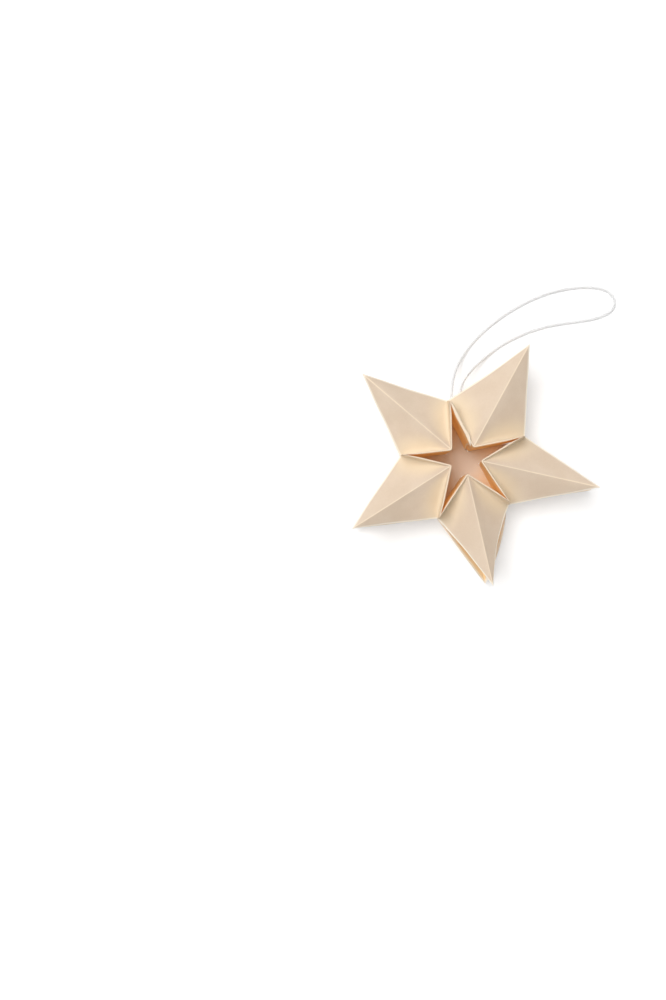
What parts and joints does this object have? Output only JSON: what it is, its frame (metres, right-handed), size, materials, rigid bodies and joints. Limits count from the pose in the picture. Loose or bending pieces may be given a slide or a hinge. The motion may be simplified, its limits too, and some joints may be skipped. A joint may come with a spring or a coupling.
{
  "type": "folded paper star ornament",
  "caption": "Hanging star folded from one creased strip of card round a star-shaped hole, with a loop of cotton cord.",
  "frame": {"origin": "middle of the folded star's box, on the surface that its back rims rest on", "axes": "+Z through the hole from back to front, +Y towards the seam and the cord, +X towards the longest point"},
  "size_m": [0.1094, 0.1233, 0.031],
  "materials": {
    "card": "matt uncoated card",
    "cord": "twisted cotton"
  },
  "bodies": {
    "root": {"folded_star": "card", "hanging_loop": "cord"}
  },
  "joints": []
}
